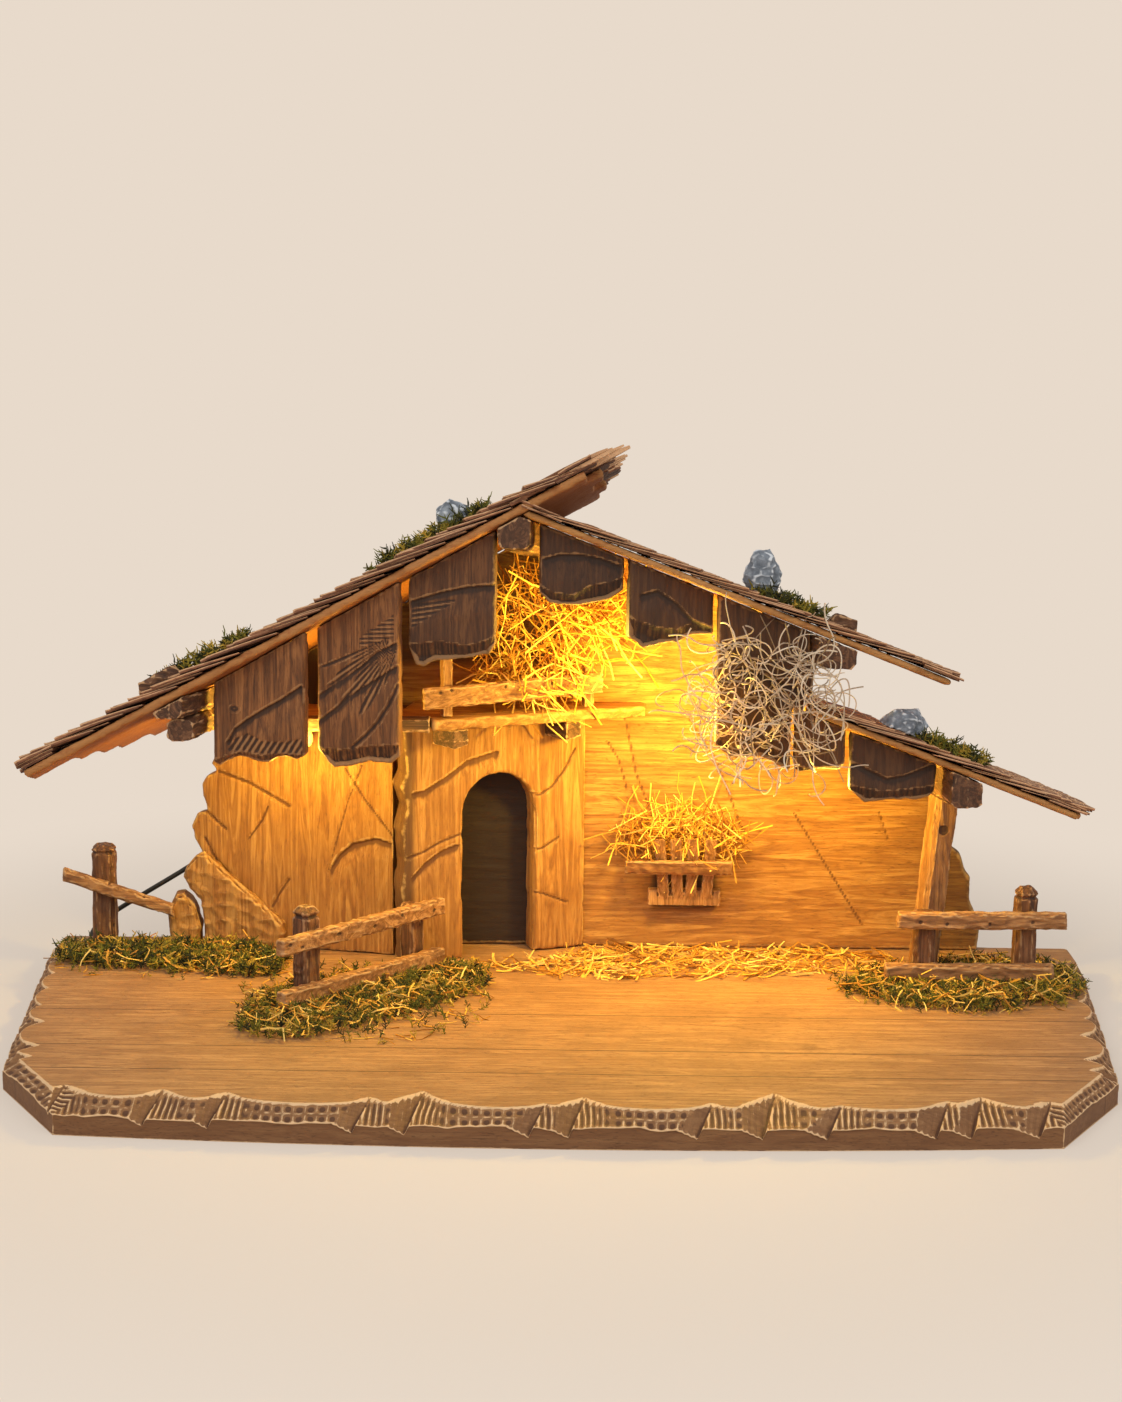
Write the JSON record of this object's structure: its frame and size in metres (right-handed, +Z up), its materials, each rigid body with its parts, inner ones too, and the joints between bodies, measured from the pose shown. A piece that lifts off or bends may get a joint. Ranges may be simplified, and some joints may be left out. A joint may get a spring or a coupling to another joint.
{
  "type": "nativity stable",
  "caption": "Rustic wooden nativity stable on a carved base board, with stepped shingle roofs, an arched door, a hay loft, a manger, fences and warm lamps.",
  "frame": {"origin": "on the underside of the base board, midway between its ends and midway between its front and back edges", "axes": "+X to the viewer's right along the length of the base, +Y from the open front towards the back wall, +Z up"},
  "size_m": [0.6, 0.3657, 0.3161],
  "materials": {
    "base_wood": "glued spruce board, stained light brown, carved rim",
    "wall_wood": "hand-carved pine, light stain",
    "beam_wood": "dark stained, hewn",
    "board_wood": "brown stained, gouged, brushed edges",
    "shingle_wood": "split shingles, weathered",
    "rail_wood": "hewn, pale worn edges",
    "stone": "rough natural stone chip, no plastic",
    "hay": "loose dried grass",
    "lichen": "loose curled bast fibre",
    "moss": "dried dyed moss",
    "lamp_glass": "small warm bulb",
    "lead": "thin black low-voltage lead"
  },
  "bodies": {
    "root": {"base_board": "base_wood", "back_wall": "wall_wood", "left_wall": "wall_wood", "door_wall": "wall_wood", "rock_slab": "wall_wood", "rock_block": "wall_wood", "loft_floor": "wall_wood", "loft_bracket_left": "beam_wood", "loft_bracket_right": "beam_wood", "loft_post_left": "rail_wood", "loft_post_right": "rail_wood", "loft_rail": "rail_wood", "tie_beam": "beam_wood", "gable_board_1": "board_wood", "gable_board_2": "board_wood", "gable_board_3": "board_wood", "gable_board_4": "board_wood", "gable_board_5": "board_wood", "gable_board_6": "board_wood", "gable_board_7": "board_wood", "gable_board_8": "board_wood", "ridge_beam": "beam_wood", "purlin_left": "beam_wood", "eave_beam_left": "beam_wood", "purlin_right": "beam_wood", "purlin_right_low": "beam_wood", "right_post": "beam_wood", "left_roof_boards": "beam_wood", "left_roof_shingles": "shingle_wood", "right_roof_boards": "beam_wood", "right_roof_shingles": "shingle_wood", "lower_roof_boards": "beam_wood", "lower_roof_shingles": "shingle_wood", "roof_stone_left": "stone", "roof_stone_right": "stone", "roof_stone_lower": "stone", "fence_post_front_left": "rail_wood", "fence_post_front_right": "rail_wood", "fence_rail_front_low": "rail_wood", "fence_rail_front_top": "rail_wood", "fence_post_right_inner": "rail_wood", "fence_post_right_outer": "rail_wood", "fence_rail_right_low": "rail_wood", "fence_rail_right_top": "rail_wood", "fence_post_back_left": "rail_wood", "fence_rail_back_left": "rail_wood", "manger_top_rail": "rail_wood", "manger_rack": "rail_wood", "lamp_left": "lamp_glass", "lamp_gable": "lamp_glass", "lamp_right": "lamp_glass", "loft_hay": "hay", "manger_hay": "hay", "lichen": "lichen", "ground_moss_left": "moss", "ground_moss_front": "moss", "ground_moss_right": "moss", "lamp_cord": "lead", "cord_coil": "lead", "plug": "lead"}
  },
  "joints": []
}
